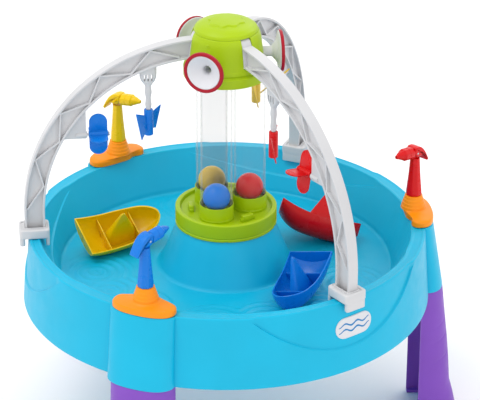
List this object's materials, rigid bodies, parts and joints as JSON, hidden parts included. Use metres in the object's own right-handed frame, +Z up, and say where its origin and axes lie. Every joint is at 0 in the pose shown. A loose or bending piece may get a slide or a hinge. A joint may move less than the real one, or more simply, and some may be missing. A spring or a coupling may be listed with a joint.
{
  "type": "water play table",
  "caption": "Round water play table on legs, with a tower of clear ball tubes, arches with spinners, squirters aimed at funnel targets, and toy boats.",
  "frame": {"origin": "on the floor, under the middle of the whole table's box; the tower's axis is 31.75 mm behind it in +Y", "axes": "+Z up; the leg with the blue squirter points to -Y, the red one to the right at 30 degrees from +X, the yellow one to the left"},
  "size_m": [0.7672, 0.8, 0.7942],
  "materials": {
    "aqua_plastic": "satin moulded polypropylene, fine grain on the outside",
    "lime_plastic": "semi-gloss moulded plastic",
    "grey_plastic": "satin moulded plastic, pale grey",
    "orange_plastic": "semi-gloss moulded plastic",
    "purple_plastic": "satin moulded plastic",
    "blue_plastic": "gloss moulded plastic",
    "red_plastic": "gloss moulded plastic",
    "yellow_plastic": "gloss moulded plastic",
    "crimson_plastic": "semi-gloss moulded plastic",
    "white_plastic": "semi-gloss moulded plastic",
    "clear_plastic": "clear extruded tube",
    "steel": "plain pin"
  },
  "bodies": {
    "table": {"tray": "aqua_plastic", "badge": "white_plastic", "tower_base": "lime_plastic", "hub_body": "lime_plastic", "hub_cap": "lime_plastic", "leg_blue": "purple_plastic", "tube_blue": "clear_plastic", "target_blue": "white_plastic", "target_ring_blue": "crimson_plastic", "arch_blue": "grey_plastic", "arch_clamp_blue": "grey_plastic", "hanger_blue": "grey_plastic", "wheel_axle_blue": "steel", "pump_cover_blue": "orange_plastic", "leg_red": "purple_plastic", "tube_red": "clear_plastic", "target_red": "white_plastic", "target_ring_red": "crimson_plastic", "arch_red": "grey_plastic", "arch_clamp_red": "grey_plastic", "hanger_red": "grey_plastic", "wheel_axle_red": "steel", "pump_cover_red": "orange_plastic", "leg_yellow": "purple_plastic", "tube_yellow": "clear_plastic", "target_yellow": "white_plastic", "target_ring_yellow": "crimson_plastic", "arch_yellow": "grey_plastic", "arch_clamp_yellow": "grey_plastic", "hanger_yellow": "grey_plastic", "wheel_axle_yellow": "steel", "pump_cover_yellow": "orange_plastic"},
    "blue_squirter": {"pump_stem_blue": "blue_plastic", "nozzle_blue": "blue_plastic", "trigger_pin_blue": "steel"},
    "blue_trigger": {"trigger_blue": "blue_plastic"},
    "blue_ball": {"ball_blue": "blue_plastic"},
    "blue_propeller": {"propeller_blue": "blue_plastic"},
    "blue_wheel": {"paddle_wheel_blue": "blue_plastic"},
    "blue_boat": {"boat_blue": "blue_plastic"},
    "red_squirter": {"pump_stem_red": "red_plastic", "nozzle_red": "red_plastic", "trigger_pin_red": "steel"},
    "red_trigger": {"trigger_red": "red_plastic"},
    "red_ball": {"ball_red": "red_plastic"},
    "red_propeller": {"propeller_red": "red_plastic"},
    "red_wheel": {"paddle_wheel_red": "red_plastic"},
    "red_boat": {"boat_red": "red_plastic"},
    "yellow_squirter": {"pump_stem_yellow": "yellow_plastic", "nozzle_yellow": "yellow_plastic", "trigger_pin_yellow": "steel"},
    "yellow_trigger": {"trigger_yellow": "yellow_plastic"},
    "yellow_ball": {"ball_yellow": "yellow_plastic"},
    "yellow_propeller": {"propeller_yellow": "yellow_plastic"},
    "yellow_wheel": {"paddle_wheel_yellow": "yellow_plastic"},
    "yellow_boat": {"boat_yellow": "yellow_plastic"}
  },
  "joints": [
    {"name": "blue_swivel", "type": "hinge", "parent": "table", "child": "blue_squirter", "pos_m": [0, -0.30675, 0.4411], "axis": [0, 0, 1], "range_deg": [-60, 60]},
    {"name": "blue_squeeze", "type": "hinge", "parent": "blue_squirter", "child": "blue_trigger", "pos_m": [0.0015, -0.30304, 0.5251], "axis": [0.9272, -0.3746, 0], "range_deg": [0, 15], "stiffness_Nm_per_rad": 0.06, "springref_deg": -8.59},
    {"name": "blue_ball_rise", "type": "slide", "parent": "table", "child": "blue_ball", "axis": [0, 0, 1], "range_m": [0, 0.205]},
    {"name": "blue_propeller_spin", "type": "hinge", "parent": "table", "child": "blue_propeller", "pos_m": [-0.11761, -0.03615, 0.60763], "axis": [0, 0, 1], "continuous": true},
    {"name": "blue_wheel_spin", "type": "hinge", "parent": "table", "child": "blue_wheel", "pos_m": [-0.19399, -0.08025, 0.589], "axis": [-0.866, -0.5, 0], "continuous": true},
    {"name": "blue_boat_lift", "type": "slide", "parent": "table", "child": "blue_boat", "axis": [0, 0, 1], "range_m": [0, 0.1]},
    {"name": "red_swivel", "type": "hinge", "parent": "table", "child": "red_squirter", "pos_m": [0.29315, 0.201, 0.4411], "axis": [0, 0, 1], "range_deg": [-60, 60]},
    {"name": "red_squeeze", "type": "hinge", "parent": "red_squirter", "child": "red_trigger", "pos_m": [0.29178, 0.19724, 0.5251], "axis": [-0.9397, 0.342, 0], "range_deg": [0, 15], "stiffness_Nm_per_rad": 0.06, "springref_deg": -8.59},
    {"name": "red_ball_rise", "type": "slide", "parent": "table", "child": "red_ball", "axis": [0, 0, 1], "range_m": [0, 0.205]},
    {"name": "red_propeller_spin", "type": "hinge", "parent": "table", "child": "red_propeller", "pos_m": [0.11761, -0.03615, 0.60763], "axis": [0, 0, 1], "continuous": true},
    {"name": "red_wheel_spin", "type": "hinge", "parent": "table", "child": "red_wheel", "pos_m": [0.19399, -0.08025, 0.589], "axis": [0.866, -0.5, 0], "continuous": true},
    {"name": "red_boat_lift", "type": "slide", "parent": "table", "child": "red_boat", "axis": [0, 0, 1], "range_m": [0, 0.1]},
    {"name": "yellow_swivel", "type": "hinge", "parent": "table", "child": "yellow_squirter", "pos_m": [-0.29315, 0.201, 0.4411], "axis": [0, 0, 1], "range_deg": [-60, 60]},
    {"name": "yellow_squeeze", "type": "hinge", "parent": "yellow_squirter", "child": "yellow_trigger", "pos_m": [-0.28921, 0.20031, 0.5251], "axis": [-0.1736, -0.9848, 0], "range_deg": [0, 15], "stiffness_Nm_per_rad": 0.06, "springref_deg": -8.59},
    {"name": "yellow_ball_rise", "type": "slide", "parent": "table", "child": "yellow_ball", "axis": [0, 0, 1], "range_m": [0, 0.205]},
    {"name": "yellow_propeller_spin", "type": "hinge", "parent": "table", "child": "yellow_propeller", "pos_m": [0, 0.16755, 0.60763], "axis": [0, 0, 1], "continuous": true},
    {"name": "yellow_wheel_spin", "type": "hinge", "parent": "table", "child": "yellow_wheel", "pos_m": [0, 0.25575, 0.589], "axis": [0, 1, 0], "continuous": true},
    {"name": "yellow_boat_lift", "type": "slide", "parent": "table", "child": "yellow_boat", "axis": [0, 0, 1], "range_m": [0, 0.1]}
  ]
}
